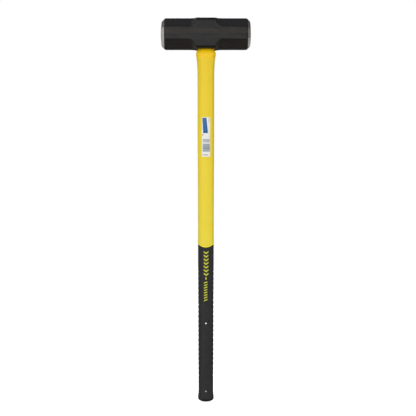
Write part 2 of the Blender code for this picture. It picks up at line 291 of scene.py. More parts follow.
ANGLES = oval_angles()
UNIT_X = np.sign(np.cos(ANGLES)) * np.abs(np.cos(ANGLES)) ** (2 / OVAL_POWER)
UNIT_Y = np.sign(np.sin(ANGLES)) * np.abs(np.sin(ANGLES)) ** (2 / OVAL_POWER)


def oval_row(half_x, half_y, z):
    """A ring of points; each argument is a number or an array over the columns."""
    x = UNIT_X * half_x
    y = UNIT_Y * half_y
    return np.column_stack((x, y, np.zeros_like(x) + z))


def grow(half, amount):
    return half[0] + amount, half[1] + amount


def side_outline(node, low, high, recess):
    """Half-width by height on +X of a CAD node, skipping what lies deeper than recess."""
    points = []
    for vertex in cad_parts[node].data.vertices:
        x, y, z = vertex.co
        if abs(y) < 1e-5 and x > 0 and low < z < high + 1e-5:
            points.append((z, x))
    points = np.array(sorted(points))
    kept = []
    for z, x in points:
        near = points[np.abs(points[:, 0] - z) < 6 * MM]
        if x > near[:, 1].max() - recess:
            kept.append((z, x))
    return np.array(kept)


def smoothed(outline, blur):
    """A function of height: the outline's straight runs, with its corners rounded over blur."""
    step = 0.25 * MM
    grid = np.arange(outline[0, 0], outline[-1, 0] + step, step)
    values = np.interp(grid, outline[:, 0], outline[:, 1])
    reach = int(3 * blur / step)
    kernel = np.exp(-0.5 * (np.arange(-reach, reach + 1) * step / blur) ** 2)
    padded = np.pad(values, reach, mode="edge")
    rounded = np.convolve(padded, kernel / kernel.sum(), mode="valid")
    return lambda z: np.interp(z, grid, rounded)


JACKET_PROFILE = smoothed(side_outline("shaft_jacket", GRIP_HIGH.z, HEAD_LOW.z, 9 * MM), 1.3 * MM)
GRIP_PROFILE = smoothed(side_outline("grip_sleeve", 8 * MM, GRIP_HIGH.z, 0.65 * MM), 1.2 * MM)


def jacket_skin(z):
    return JACKET_PROFILE(z) - JACKET_SHY


def arc_rise(x):
    """How far the grip's upper edge has risen at x, from its low point in the middle."""
    return ARC_RADIUS - np.sqrt(ARC_RADIUS ** 2 - np.minimum(np.abs(x), 0.9 * ARC_RADIUS) ** 2)


def seam():
    """Rise of the moulding line at each column."""
    distance = np.abs(UNIT_Y) * 14 * MM
    return SEAM_RISE * (1 - smoothstep(0.3 * SEAM_HALF_WIDTH, SEAM_HALF_WIDTH, distance))


def pin_cutters():
    """Round bars along Y for the see-through pin holes, flared a little at both mouths."""
    cutters = []
    turn = np.linspace(0, math.tau, 32, endpoint=False)
    for number, z in enumerate(PIN_HOLE_HEIGHTS):
        mouth = DEPTH_RATIO * float(GRIP_PROFILE(z))
        back = [(mouth - 0.5 * MM, 1.0), (mouth + 0.1 * MM, PIN_HOLE_FLARE), (30 * MM, 1.0)]
        front = [(-y, flare) for y, flare in reversed(back)]
        rows = []
        for y, flare in front + back:
            radius = PIN_HOLE_RADIUS * flare
            rows.append(np.column_stack((radius * np.cos(turn), np.full_like(turn, y),
                                         z + radius * np.sin(turn))))
        cutters.append(loft_mesh(f"pin_hole_{number}", rows))
    return cutters


# ------------ head

def head_directions():
    """Angles round the head's axis, closer together at the octagon's edges."""
    per_side = 44
    share = np.arange(per_side) / per_side
    local = share - 0.8 * np.sin(math.tau * share) / math.tau
    edges = math.radians(22.5) + np.arange(8) * math.pi / 4
    return (edges[:, None] + local[None, :] * math.pi / 4).ravel()


DIRECTIONS = head_directions()


def half_flats(x):
    """Half the size across flats at x: the same all along, then falling down the end bevel."""
    bevel = HALF_FLATS - (np.abs(x) - BEVEL_START) * (HALF_FLATS - FACE_HALF) / BEVEL_LENGTH
    return smooth_min(HALF_FLATS, bevel, BEVEL_ROUNDING)


def corner_cut(x):
    """Size of the corner cut at x over that of a regular octagon, running out at the cheek."""
    share = np.clip((ARM_START - np.abs(x)) / (ARM_START - CHEEK_HALF_LENGTH), 0.0, 1.0)
    return np.maximum(np.sqrt(1 - share ** 2), CHEEK_EDGE / OCTAGON_CUT)


def section_radius(x):
    """Distance from the head's axis to its skin for each direction; x may differ by direction."""
    half = half_flats(x) * np.ones_like(DIRECTIONS)
    cut = corner_cut(x)
    diagonal = (2 * half - cut * OCTAGON_CUT * half / HALF_FLATS) / math.sqrt(2)
    softness = ARM_SOFTNESS + CHEEK_SOFTNESS * (1 - cut)
    radius = np.full_like(DIRECTIONS, 1.0)
    for k in range(8):
        facing = np.cos(DIRECTIONS - k * math.pi / 4)
        radius = smooth_min(radius, (diagonal if k % 2 else half) / np.maximum(facing, 0.2), softness)
    return radius


def crown_x(radius):
    """Where the crowned striking face is, at a distance from the head's axis."""
    return HALF_LENGTH - FACE_CROWN * (radius / FACE_HALF) ** 2


def face_rings():
    """Rings (x, radius) over the striking face and its rounded edge, from the middle outwards."""
    edge_x = np.full_like(DIRECTIONS, BEVEL_START + BEVEL_LENGTH)
    for _ in range(6):
        edge = section_radius(edge_x)
        edge_x = crown_x(edge)
    inner = edge - FACE_FILLET
    rings = [(crown_x(inner * share), inner * share) for share in np.linspace(0.02, 1.0, 14)]
    outer_x = edge_x - 0.8 * FACE_FILLET
    outer = section_radius(outer_x)
    for share in np.linspace(0.15, 1.0, 6):
        weights = (1 - share) ** 2, 2 * share * (1 - share), share ** 2
        x = sum(w * v for w, v in zip(weights, (crown_x(inner), edge_x, outer_x)))
        radius = sum(w * v for w, v in zip(weights, (inner, edge, outer)))
        rings.append((x, radius))
    return rings


def head_rings():
    """Rings (x, radius) of half the head, from its striking face to the middle."""
    rings = face_rings()
    last_x = rings[-1][0]
    bevel_foot = BEVEL_START - 1.6 * MM
    for share in np.linspace(0, 1, 26)[1:]:
        x = last_x + (bevel_foot - last_x) * share
        rings.append((x, section_radius(x)))
    places = list(np.arange(bevel_foot - 2.4 * MM, ARM_START + 1 * MM, -2.4 * MM))
    run_out = ARM_START - CHEEK_HALF_LENGTH
    places += [ARM_START - run_out * math.sin(turn) for turn in np.linspace(0, math.pi / 2, 30)]
    places += list(np.arange(CHEEK_HALF_LENGTH - 1 * MM, 1 * MM, -2 * MM))
    for x in places:
        rings.append((x * np.ones_like(DIRECTIONS), section_radius(x)))
    return rings


def forged_dip(x, y, z):
    """Shallow unevenness of the forging, always inwards."""
    spot = Vector((x, y, z))
    broad = noise.noise(spot * 38.0)
    fine = noise.noise(spot * 160.0 + Vector((7.0, 3.0, 1.0)))
    return (0.10 + 0.07 * broad + 0.05 * fine) * MM


def make_head(mat):
    """The forging: octagonal arms, square cheek and crowned faces, less the eye."""
    half = head_rings()
    rings = half + [(-x, radius) for x, radius in reversed(half)]
    rows = []
    for places, radii in rings:
        row = []
        for x, direction, reach in zip(places, DIRECTIONS, radii):
            y, z = math.sin(direction), math.cos(direction)
            forged = 1 - smoothstep(BEVEL_START - 1 * MM, BEVEL_START + 1 * MM, abs(x))
            if forged > 0:
                reach -= forged * forged_dip(x, reach * y, reach * z)
            row.append((x, reach * y, AXIS_Z + reach * z))
        rows.append(row)
    body = loft_mesh("hammer_head_fine", rows)
    body = cut_mesh(body, [eye_cutter()], sharp_angle=42)
    add_piece("forged_head", body, mat, "hammer_head")


def eye_half(z):
    """Half-widths of the hourglass eye at height z."""
    waist_z = HEAD_LOW.z + EYE_WAIST_HEIGHT
    if z < waist_z:
        share = (z - HEAD_LOW.z) / EYE_WAIST_HEIGHT
        start, end = EYE_MOUTH, EYE_WAIST
    else:
        share = (z - waist_z) / (HEAD_HIGH.z - waist_z)
        start, end = EYE_WAIST, EYE_TOP
    return tuple(a + (b - a) * share for a, b in zip(start, end))


def eye_cutter():
    """The eye, with a small chamfer at both mouths."""
    levels = [(HEAD_LOW.z - 3 * MM, 3 * MM + EYE_CHAMFER), (HEAD_LOW.z + EYE_CHAMFER, 0.0)]
    levels += [(z, 0.0) for z in np.linspace(HEAD_LOW.z + 4 * MM, HEAD_HIGH.z - 4 * MM, 12)]
    levels += [(HEAD_HIGH.z - EYE_CHAMFER, 0.0), (HEAD_HIGH.z + 3 * MM, 3 * MM + EYE_CHAMFER)]
    return loft_mesh("eye", [oval_row(*grow(eye_half(z), extra), z) for z, extra in levels])


# ------------ shaft pieces

def make_core(mat):
    """A solid oval rod with eased ends."""
    low_ease = 1.5 * MM
    top_ease = 0.35 * MM
    rows = [oval_row(*grow(CORE_HALF, -low_ease), CORE_LOW.z),
            oval_row(*CORE_HALF, CORE_LOW.z + low_ease)]
    for z in np.linspace(CORE_LOW.z + 5 * MM, CORE_HIGH.z - top_ease, 60):
        rows.append(oval_row(*CORE_HALF, z))
    rows.append(oval_row(*grow(CORE_HALF, -top_ease), CORE_HIGH.z))
    mesh = cut_mesh(loft_mesh("core_fine", rows), pin_cutters(), sharp_angle=35)
    add_piece("fibreglass_core", mesh, mat, "shaft_core")


def depth_ratio(z):
    """Front-to-back size over width: the shaft thins from front to back above its shoulder."""
    return np.interp(z, (SHOULDER_Z, HEAD_LOW.z), (DEPTH_RATIO, MOUTH_DEPTH_RATIO))


def jacket_row(height):
    """A ring of the jacket's outer skin, height above the grip's edge, measured mid-front."""
    edge_x = UNIT_X * float(JACKET_PROFILE(ARC_LOW + height))
    bend = 1 - smoothstep(0.0, ARC_BLEND, height)
    z = ARC_LOW + height + bend * arc_rise(edge_x)
    slope = np.abs(edge_x) / np.sqrt(ARC_RADIUS ** 2 - np.minimum(edge_x ** 2, 0.8 * ARC_RADIUS ** 2))
    distance = height / np.sqrt(1 + slope ** 2)
    lip = LIP_RISE * (1 - smoothstep(LIP_WIDTH - 0.5 * MM, LIP_WIDTH + 0.5 * MM, distance))
    in_hollow = np.clip(1 - np.abs(distance - LIP_WIDTH - HOLLOW_HALF) / HOLLOW_HALF, 0.0, 1.0)
    lip = lip - LIP_HOLLOW * np.sin(in_hollow * math.pi / 2) ** 2
    rounding = np.clip(1 - distance / LIP_ROUNDING, 0.0, 1.0)
    half = jacket_skin(z) + lip - LIP_ROUNDING * (1 - np.sqrt(1 - rounding ** 2))
    return oval_row(half + seam(), half * depth_ratio(z), z)


def jacket_heights(top):
    """Heights of the jacket's rows above the grip's edge: close at its lip and its shoulder."""
    lip_rows = (0, 0.06, 0.15, 0.3, 0.5, 0.9, 1.5, 2.0, 2.3, 2.6, 2.9, 3.2, 3.6, 4.2, 5.2, 6.5)
    heights = [height * MM for height in lip_rows]
    shoulder = 425 * MM
    heights += list(np.arange(8 * MM, shoulder, 2.5 * MM))
    heights += list(np.arange(shoulder + 1 * MM, top - ARC_LOW - 1.6 * MM, 0.8 * MM))
    return heights


def make_jacket(mat):
    """Outside from the butt end up to the head, then the spigot and the bore back down."""
    thin = grow(CORE_HALF, THIN_OUT)
    bore = grow(CORE_HALF, BORE_OUT)
    top = HEAD_LOW.z - HEAD_GAP
    rows = [oval_row(*grow(thin, -2 * MM), JACKET_LOW.z), oval_row(*thin, JACKET_LOW.z + 2 * MM)]
    for z in np.linspace(20 * MM, ARC_LOW - 10 * MM, 20):
        rows.append(oval_row(*thin, z))
    rows.append(oval_row(*thin, ARC_LOW + arc_rise(UNIT_X * thin[0])))
    rows += [jacket_row(height) for height in jacket_heights(top)]
    below = float(jacket_skin(top - TOP_FILLET))
    for turn in np.linspace(0.1, 1.0, 7) * math.pi / 2:
        half = below - TOP_INSET * (1 - math.cos(turn))
        z = top - TOP_FILLET * (1 - math.sin(turn))
        rows.append(oval_row(half, half * float(depth_ratio(top)), z))
    rows.append(oval_row(*SPIGOT, top))
    rows.append(oval_row(*SPIGOT, JACKET_HIGH.z))
    rows.append(oval_row(*bore, JACKET_HIGH.z))
    rows.append(oval_row(*bore, JACKET_LOW.z + 4 * MM))
    rows.append(oval_row(*grow(bore, -1.5 * MM), JACKET_LOW.z + 2.5 * MM))
    mesh = cut_mesh(loft_mesh("jacket_fine", rows), pin_cutters(), sharp_angle=38)
    add_piece("yellow_jacket", mesh, mat, "shaft_jacket")


def groove_press(side_z):
    """How far the grip's skin is pressed in at side height z, over its whole section."""
    number = round((side_z - GROOVE_FIRST_Z) / GROOVE_PITCH)
    number = min(max(number, 0), GROOVE_COUNT - 1)
    distance = abs(side_z - GROOVE_FIRST_Z - number * GROOVE_PITCH)
    groove = 0.0
    if distance < GROOVE_HALF_WIDTH:
        groove = GROOVE_DEPTH * math.cos(math.pi / 2 * distance / GROOVE_HALF_WIDTH) ** 1.3
    from_pad = max(0.0, 1 - distance / (GROOVE_PITCH / 2))
    return groove + PAD_CROWN * from_pad ** 2


def grip_row(side_z, sweep, press):
    """A ring of the grip's skin that falls from its sides to its middle by sweep."""
    z = side_z - sweep
    share = np.clip((np.abs(UNIT_X) - GROOVE_FADES_AT) / (GROOVE_FULL_AT - GROOVE_FADES_AT), 0, 1)
    half = GRIP_PROFILE(z)
    pressed = press * share ** 1.4
    return oval_row(half - pressed + 0.7 * seam(), half * DEPTH_RATIO - pressed, z)


def make_grip(mat):
    """Outside from the domed butt over the grooves to the curved edge, then the inside down."""
    inner = grow(CORE_HALF, SLEEVE_OUT)
    chevron = GROOVE_SWEEP * (1 - np.abs(UNIT_X))
    rows = []
    for angle in np.linspace(0.08, math.pi / 2, 16):
        half = float(GRIP_PROFILE(BUTT_DOME)) * math.sin(angle)
        rows.append(oval_row(half, half * DEPTH_RATIO, BUTT_DOME * (1 - math.cos(angle))))
    for z in np.arange(BUTT_DOME + 1.5 * MM, PLAIN_TOP, 1.5 * MM):
        rows.append(grip_row(z, 0.0, 0.0))
    first = GROOVE_FIRST_Z - GROOVE_PITCH / 2
    for share in np.linspace(0.12, 0.9, 7):
        rows.append(grip_row(PLAIN_TOP + (first - PLAIN_TOP) * share, chevron * share, 0.0))
    offsets = np.array((-5.5, -3.8, -2.4, -1.7, -1.35, -1.0, -0.6, -0.2, 0.2, 0.6, 1.0, 1.35,
                        1.7, 2.4, 3.8)) * MM
    for number in range(GROOVE_COUNT):
        for offset in offsets:
            z = GROOVE_FIRST_Z + number * GROOVE_PITCH + offset
            rows.append(grip_row(z, chevron, groove_press(z)))
    last = GROOVE_FIRST_Z + (GROOVE_COUNT - 0.5) * GROOVE_PITCH
    arc_fall = arc_rise(UNIT_X.max() * inner[0] + EDGE_WALL) - arc_rise(UNIT_X * EDGE_HALF)
    for share in np.linspace(0.04, 1.0, 26):
        side_z = last + (GRIP_HIGH.z - last) * share
        eased = smoothstep(0.0, 1.0, share)
        rows.append(grip_row(side_z, chevron * (1 - eased) + arc_fall * eased, 0.0))
    edge = rows.pop()
    for share in (0.0, 0.15, 0.35, 0.6, 1.0):
        turn = share * math.pi / 2
        row = edge.copy()
        row[:, 2] -= EDGE_ROUNDING * (1 - math.sin(turn)) + EDGE_GAP
        row[:, :2] *= 1 - EDGE_ROUNDING * (1 - math.cos(turn)) / EDGE_HALF
        rows.append(row)
    rows.append(oval_row(*inner, ARC_LOW + arc_rise(UNIT_X * inner[0]) - EDGE_GAP))
    rows.append(oval_row(*inner, 9.7 * MM))
    rows.append(oval_row(*grow(inner, -2 * MM), 7.7 * MM))
    mesh = cut_mesh(loft_mesh("grip_fine", rows), pin_cutters(), sharp_angle=40)
    add_piece("rubber_grip", mesh, mat, "grip_sleeve")


# ------------ label, print and eye filling

def skin_y(profile, x, z):
    """Where the front of an oval piece is at x and height z."""
    half = profile(z)
    return -DEPTH_RATIO * half * (1 - (np.abs(x) / half) ** OVAL_POWER) ** (1 / OVAL_POWER)


def sheet(profile, x, low, high, steps):
    """A thin closed sheet on the front of an oval piece, between the heights low and high.

    low and high are arrays over x. Returns its points and faces.
    """
    share = np.linspace(0, 1, steps + 1)[:, None]
    z = low + (high - low) * share
    x = np.broadcast_to(x, z.shape)
    y = skin_y(profile, x, z)
    layers = [np.stack((x, y - lift, z), axis=-1).reshape(-1, 3) for lift in SHEET_LIFTS]
    count = x.shape[1]
    size = x.size

    def corner(layer, row, column):
        return layer * size + row * count + column

    faces = []
    for layer in range(2):
        for row in range(steps):
            for column in range(count - 1):
                faces.append((corner(layer, row, column), corner(layer, row, column + 1),
                              corner(layer, row + 1, column + 1), corner(layer, row + 1, column)))
    rim = [(0, column) for column in range(count)]
    rim += [(row, count - 1) for row in range(1, steps + 1)]
    rim += [(steps, column) for column in reversed(range(count - 1))]
    rim += [(row, 0) for row in reversed(range(1, steps))]
    for here, there in zip(rim, rim[1:] + rim[:1]):
        faces.append((corner(0, *here), corner(0, *there), corner(1, *there), corner(1, *here)))
    return np.concatenate(layers), faces


def sheets_mesh(name, sheets):
    points, faces = [], []
    for sheet_points, sheet_faces in sheets:
        start = len(points)
        points += [tuple(p) for p in sheet_points]
        faces += [tuple(start + i for i in face) for face in sheet_faces]
    return mesh_from(name, points, faces, sharp_angle=40)


def make_label(mat):
    """The label: a rectangle with rounded corners."""
    turn = np.linspace(0, math.pi / 2, 7)[:-1]
    inset = LABEL_CORNER * (1 - np.cos(turn))
    left = LABEL_LOW.x + inset
    x = np.concatenate((left, np.linspace(LABEL_LOW.x + LABEL_CORNER, LABEL_HIGH.x - LABEL_CORNER, 26),
                        (LABEL_LOW.x + LABEL_HIGH.x - left)[::-1]))
    from_side = np.minimum(x - LABEL_LOW.x, LABEL_HIGH.x - x)
    reach = np.clip(LABEL_CORNER - from_side, 0, None)
    fall = LABEL_CORNER - np.sqrt(np.maximum(LABEL_CORNER ** 2 - reach ** 2, 0))
    film = sheet(jacket_skin, x, LABEL_LOW.z + fall, LABEL_HIGH.z - fall, 60)
    add_piece("label", sheets_mesh("label_fine", [film]), mat, "product_label")


def make_print(mat):
    """Plain chevrons, a dash and slanted bars, printed down the front of the grip."""
    sheets = []
    wide = np.linspace(*CHEVRON_SPAN, 25)
    middle = sum(CHEVRON_SPAN) / 2
    for number in range(CHEVRON_COUNT):
        low = PRINT_TOP - number * CHEVRON_PITCH - CHEVRON_STROKE - CHEVRON_FALL
        low = low + CHEVRON_FALL * np.abs(wide - middle) / (middle - CHEVRON_SPAN[0])
        sheets.append(sheet(GRIP_PROFILE, wide, low, low + CHEVRON_STROKE, 3))
    dash = np.linspace(*DASH_SPAN, 5)
    sheets.append(sheet(GRIP_PROFILE, dash, dash * 0 + DASH_HEIGHTS[0], dash * 0 + DASH_HEIGHTS[1], 6))
    narrow = np.linspace(*BAR_SPAN, 17)
    for number in range(BAR_COUNT):
        low = BAR_TOP - number * BAR_PITCH - BAR_STROKE + BAR_SLOPE * (narrow - BAR_SPAN[1])
        sheets.append(sheet(GRIP_PROFILE, narrow, low, low + BAR_STROKE, 2))
    add_piece("grip_print", sheets_mesh("grip_print_fine", sheets), mat)


def make_filling(name, node, low, high, meniscus, unevenness, mat):
    """A ring between the core and the eye whose top creeps up both walls by meniscus."""
    inner = grow(CORE_HALF, FILLING_GAP)

    def ring(share, z):
        outer = grow(eye_half(z), -FILLING_GAP)
        halves = [a + (b - a) * share for a, b in zip(outer, inner)]
        return oval_row(*halves, z)

    edge = 0.25 * MM            # the walls stop this far from the top and the underside
    rows = [ring(0.0, z) for z in np.linspace(low + edge, high - edge, 12)]
    for share in np.linspace(0.0, 1.0, 15):
        row = ring(share, high - meniscus * (1 - abs(2 * share - 1) ** 3))
        for point in row:
            lump = noise.noise(Vector(point) * 130.0) + 0.5 * noise.noise(Vector(point) * 420.0)
            point[2] += unevenness * (lump - 1) * (1 - abs(2 * share - 1))
        rows.append(row)
    rows += [ring(1.0, z) for z in np.linspace(high - edge, low + edge, 12)]
    rows += [ring(share, low) for share in (0.9, 0.5, 0.1)]
    add_piece(name, loft_mesh(name + "_fine", rows, closed=True, sharp_angle=50), mat, node)


# ------------ shader helpers

def principled(name, specular=0.5):
    """A new material, its node tree and its Principled shader."""
    mat = bpy.data.materials.new(name)
    mat.use_nodes = True
    tree = mat.node_tree
    shader = next(n for n in tree.nodes if n.type == "BSDF_PRINCIPLED")
    shader.inputs["Specular IOR Level"].default_value = specular
    return mat, tree, shader


def feed(tree, socket, value):
    """Link a socket to value, or set it when value is a plain number, vector or colour."""
    if isinstance(value, bpy.types.NodeSocket):
        tree.links.new(value, socket)
    elif isinstance(value, tuple) and len(value) == 3 and socket.type == "RGBA":
        socket.default_value = (*value, 1)
    else:
        socket.default_value = value


def add(tree, kind, settings=(), **inputs):
    """Add a node; each keyword names an input, with _ for a space."""
    new = tree.nodes.new(kind)
    for key, value in dict(settings).items():
        setattr(new, key, value)
    for key, value in inputs.items():
        feed(tree, new.inputs[key.replace("_", " ")], value)
    return new


def maths(tree, operation, *values):
    """The result of a Math node."""
    new = tree.nodes.new("ShaderNodeMath")
    new.operation = operation
    for socket, value in zip(new.inputs, values):
        feed(tree, socket, value)
    return new.outputs["Value"]


def blend(tree, share, low, high):
    """Colour low where share is 0, high where it is 1."""
    new = tree.nodes.new("ShaderNodeMix")
    new.data_type = "RGBA"
    feed(tree, new.inputs["Factor"], share)
    feed(tree, next(s for s in new.inputs if s.name == "A" and s.type == "RGBA"), low)
    feed(tree, next(s for s in new.inputs if s.name == "B" and s.type == "RGBA"), high)
    return next(s for s in new.outputs if s.type == "RGBA")


def spread(tree, value, low, high, to_low=0.0, to_high=1.0, smooth=False):
    """Map value from low..high to to_low..to_high, clamped."""
    settings = {"interpolation_type": "SMOOTHSTEP" if smooth else "LINEAR"}
    return add(tree, "ShaderNodeMapRange", settings, Value=value, From_Min=low, From_Max=high,
               To_Min=to_low, To_Max=to_high).outputs["Result"]


def ramp(tree, value, stops):
    """A curve through (value, height) stops."""
    first, last = stops[0][0], stops[-1][0]
    new = tree.nodes.new("ShaderNodeValToRGB")
    feed(tree, new.inputs["Fac"], spread(tree, value, first, last))
    elements = new.color_ramp.elements
    while len(elements) < len(stops):
        elements.new(0.5)
    for element, (at, height) in zip(elements, stops):
        element.position = (at - first) / (last - first)
        element.color = (height, height, height, 1)
    return add(tree, "ShaderNodeSeparateColor", Color=new.outputs["Color"]).outputs["Red"]


def place(tree, stretch=(1, 1, 1), shift=(0, 0, 0)):
    """Object coordinates in metres, scaled and moved."""
    coordinates = add(tree, "ShaderNodeTexCoord").outputs["Object"]
    return add(tree, "ShaderNodeMapping", Vector=coordinates, Scale=stretch,
               Location=shift).outputs["Vector"]


def grain(tree, scale, detail=3.0, stretch=(1, 1, 1), roughness=0.5, shift=(0, 0, 0)):
    """Noise from 0 to 1, with scale features per metre."""
    return add(tree, "ShaderNodeTexNoise", Vector=place(tree, stretch, shift), Scale=scale,
               Detail=detail, Roughness=roughness).outputs["Fac"]


def bump(tree, shader, height, distance):
    """Add a height, distance metres tall where it is 1, to what the shader's normal has."""
    new = add(tree, "ShaderNodeBump", Height=height, Distance=distance, Strength=1.0)
    if shader.inputs["Normal"].is_linked:
        tree.links.new(shader.inputs["Normal"].links[0].from_socket, new.inputs["Normal"])
    tree.links.new(new.outputs["Normal"], shader.inputs["Normal"])


def dress(tree, shader, colour, roughness):
    """Give the shader its colour and roughness."""
    feed(tree, shader.inputs["Base Color"], colour)
    feed(tree, shader.inputs["Roughness"], roughness)


def axes(tree):
    """The object coordinates as three sockets."""
    return add(tree, "ShaderNodeSeparateXYZ", Vector=place(tree)).outputs


# ------------ materials

def bare_share(tree, x, ends):
    """1 where there is no lacquer: past its ragged end, ground askew, and in chips near it."""
    ragged = spread(tree, grain(tree, 260, 5, roughness=0.7), 0.3, 0.7, -0.30 * MM, 0.30 * MM)
    skewed = maths(tree, "SUBTRACT", ends, maths(tree, "MULTIPLY", x, PAINT_SKEW))
    reached = maths(tree, "SUBTRACT", maths(tree, "ADD", skewed, ragged), PAINT_END)
    ground_off = spread(tree, reached, -0.05 * MM, 0.05 * MM)
    worn = spread(tree, grain(tree, 900, 4, roughness=0.8), 0.70, 0.78)
    near_end = spread(tree, ends, HALF_LENGTH - 20 * MM, HALF_LENGTH - 9 * MM)
    return maths(tree, "MAXIMUM", ground_off, maths(tree, "MULTIPLY", worn, near_end))


def lacquer_colour(tree, ends, up):
    """Clouded and streaked black, with a painted cool reflection on the upper facets, and painted
    shade in bands by height and towards the cheek's top and bottom.
    """
    cloud = grain(tree, 55, 4)
    streak = grain(tree, 420, 3, stretch=(0.05, 1, 1))
    colour = blend(tree, spread(tree, cloud, 0.3, 0.7), (0.0118, 0.0101, 0.0084),
                   (0.0165, 0.0143, 0.0122))
    colour = blend(tree, spread(tree, streak, 0.45, 0.75), colour, (0.0225, 0.0193, 0.0160))
    on_arm = spread(tree, ends, CHEEK_HALF_LENGTH, CHEEK_HALF_LENGTH + CHEEK_FADE)
    # painted reflection: the arms' upper facets are tinted cooler
    upper_painted_reflection = maths(tree, "MULTIPLY", spread(tree, up, *UPPER_FACET), on_arm)
    colour = blend(tree, upper_painted_reflection, colour, (0.0164, 0.0164, 0.0186))
    wander = spread(tree, grain(tree, 30, 2, stretch=(0.6, 1, 1)), 0.3, 0.7, -0.8 * MM, 0.8 * MM)
    # painted shade: the lacquer is darkened in bands by height
    dark = ramp(tree, maths(tree, "ADD", up, wander), [(at * MM, share) for at, share in PAINTED_SHADE_BANDS])
    # painted shade: on the cheek the lacquer is also darkened towards its top and bottom
    off_middle = spread(tree, maths(tree, "ABSOLUTE", up), 9 * MM, 14 * MM)
    on_cheek = spread(tree, on_arm, 0, 1, 0.75, 0.0)
    dark = maths(tree, "MAXIMUM", dark, maths(tree, "MULTIPLY", off_middle, on_cheek))
    return blend(tree, dark, colour, (0.0018, 0.0019, 0.0034))


def turned_lines(tree, y, up, ends):
    """Fine rings round the head's axis, left by the grinding wheel."""
    radius = maths(tree, "SQRT", maths(tree, "ADD", maths(tree, "MULTIPLY", y, y),
                                       maths(tree, "MULTIPLY", up, up)))
    rings = add(tree, "ShaderNodeCombineXYZ", X=maths(tree, "SUBTRACT", radius, ends),
                Y=maths(tree, "MULTIPLY", y, 0.06), Z=maths(tree, "MULTIPLY", up, 0.06))
    return add(tree, "ShaderNodeTexNoise", Vector=rings.outputs["Vector"], Scale=2600.0,
               Detail=3.0).outputs["Fac"]


def steel_colour(tree, ends, lines):
    """Ground steel in light and dark patches, with painted shade darkening the striking faces."""
    patch = grain(tree, 75, 3, shift=(0.4, 0.1, 0))
    colour = blend(tree, spread(tree, patch, 0.3, 0.7), (0.30, 0.285, 0.26), (0.62, 0.60, 0.56))
    colour = blend(tree, spread(tree, lines, 0.3, 0.7), colour, (0.46, 0.44, 0.40))
    # painted shade: the striking faces are darkened to tone down the light on them
    face_painted_shade = spread(tree, ends, HALF_LENGTH - FACE_RIM[0], HALF_LENGTH - FACE_RIM[1])
    return blend(tree, maths(tree, "MULTIPLY", face_painted_shade, 0.45), colour, (0.10, 0.095, 0.085))


def forged_material():
    """Satin black lacquer on a forging, worn through to ground steel on the bevels and faces."""
    mat, tree, shader = principled("black_lacquer_on_steel", specular=0.24)
    x, y, z = axes(tree)
    ends = maths(tree, "ABSOLUTE", x)
    up = maths(tree, "SUBTRACT", z, AXIS_Z)
    bare = bare_share(tree, x, ends)
    coated = maths(tree, "SUBTRACT", 1.0, bare)
    lines = turned_lines(tree, y, up, ends)
    colour = blend(tree, bare, lacquer_colour(tree, ends, up), steel_colour(tree, ends, lines))
    dull = spread(tree, grain(tree, 120, 5, stretch=(0.4, 1, 1)), 0.3, 0.7, 0.40, 0.52)
    polish = spread(tree, lines, 0.3, 0.7, 0.26, 0.40)
    dress(tree, shader, colour, maths(tree, "ADD", maths(tree, "MULTIPLY", bare, polish),
                                      maths(tree, "MULTIPLY", coated, dull)))
    feed(tree, shader.inputs["Metallic"], bare)
    bump(tree, shader, maths(tree, "MULTIPLY", grain(tree, 700, 4, roughness=0.6), coated), 0.10 * MM)
    bump(tree, shader, maths(tree, "MULTIPLY", grain(tree, 170, 3), coated), 0.16 * MM)
    bump(tree, shader, maths(tree, "MULTIPLY", lines, bare), 0.02 * MM)
    bump(tree, shader, coated, 0.05 * MM)
    return mat


def above_grip_edge(tree, x, z):
    """Height above the grip's curved upper edge."""
    x_square = maths(tree, "MULTIPLY", x, x)
    drop = maths(tree, "SQRT", maths(tree, "SUBTRACT", ARC_RADIUS ** 2, x_square))
    return maths(tree, "SUBTRACT", z, maths(tree, "SUBTRACT", ARC_LOW + ARC_RADIUS, drop))


